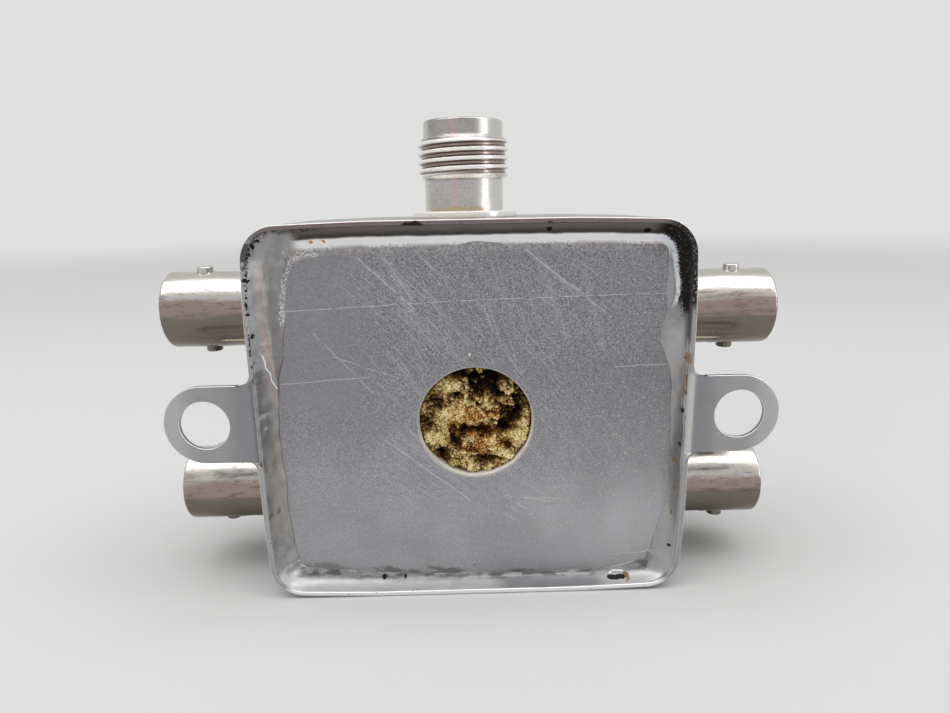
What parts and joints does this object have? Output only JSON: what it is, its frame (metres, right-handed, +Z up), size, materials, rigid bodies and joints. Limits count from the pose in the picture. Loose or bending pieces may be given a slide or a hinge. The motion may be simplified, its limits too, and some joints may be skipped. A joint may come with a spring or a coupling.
{
  "type": "antenna coupler",
  "caption": "Drawn metal case with a threaded coaxial jack on top, bayonet coaxial jacks on both sides, mounting ears and a soldered, foam-filled front.",
  "frame": {"origin": "middle of the footprint, at the height of the surface that the case stands on", "axes": "+X to the right as seen from the open front, +Y to the back wall, +Z up along the threaded jack"},
  "size_m": [0.076, 0.022, 0.0575],
  "materials": {
    "case_metal": "satin",
    "plate_metal": "satin",
    "solder": "satin",
    "foam": "matte",
    "board": "satin",
    "thread_metal": "gloss",
    "jack_metal": "satin",
    "nut_metal": "satin",
    "washer_steel": "satin",
    "insulator": "satin",
    "contact_metal": "gloss",
    "wire": "satin",
    "ferrite": "matte",
    "winding": "gloss",
    "resistor": "satin",
    "capacitor": "satin"
  },
  "bodies": {
    "root": {"case_shell": "case_metal", "cover_plate": "plate_metal", "solder_seam": "solder", "foam_fill": "foam", "circuit_board": "board", "board_posts": "nut_metal", "top_jack_body": "thread_metal", "top_jack_washer": "washer_steel", "top_jack_nut": "nut_metal", "top_jack_insulator": "insulator", "top_jack_contact": "contact_metal", "top_jack_wire": "wire", "upper_left_jack_body": "jack_metal", "upper_left_jack_washer": "washer_steel", "upper_left_jack_nut": "nut_metal", "upper_left_jack_insulator": "insulator", "upper_left_jack_contact": "contact_metal", "upper_left_jack_wire": "wire", "lower_left_jack_body": "jack_metal", "lower_left_jack_washer": "washer_steel", "lower_left_jack_nut": "nut_metal", "lower_left_jack_insulator": "insulator", "lower_left_jack_contact": "contact_metal", "lower_left_jack_wire": "wire", "upper_right_jack_body": "jack_metal", "upper_right_jack_washer": "washer_steel", "upper_right_jack_nut": "nut_metal", "upper_right_jack_insulator": "insulator", "upper_right_jack_contact": "contact_metal", "upper_right_jack_wire": "wire", "lower_right_jack_body": "jack_metal", "lower_right_jack_washer": "washer_steel", "lower_right_jack_nut": "nut_metal", "lower_right_jack_insulator": "insulator", "lower_right_jack_contact": "contact_metal", "lower_right_jack_wire": "wire", "input_transformer_core": "ferrite", "input_transformer_winding": "winding", "left_transformer_core": "ferrite", "left_transformer_winding": "winding", "right_transformer_core": "ferrite", "right_transformer_winding": "winding", "divider_transformer_core": "ferrite", "divider_transformer_winding": "winding", "left_resistor": "resistor", "right_resistor": "resistor", "middle_resistor": "resistor", "left_capacitor": "capacitor", "right_capacitor": "capacitor"}
  },
  "joints": []
}
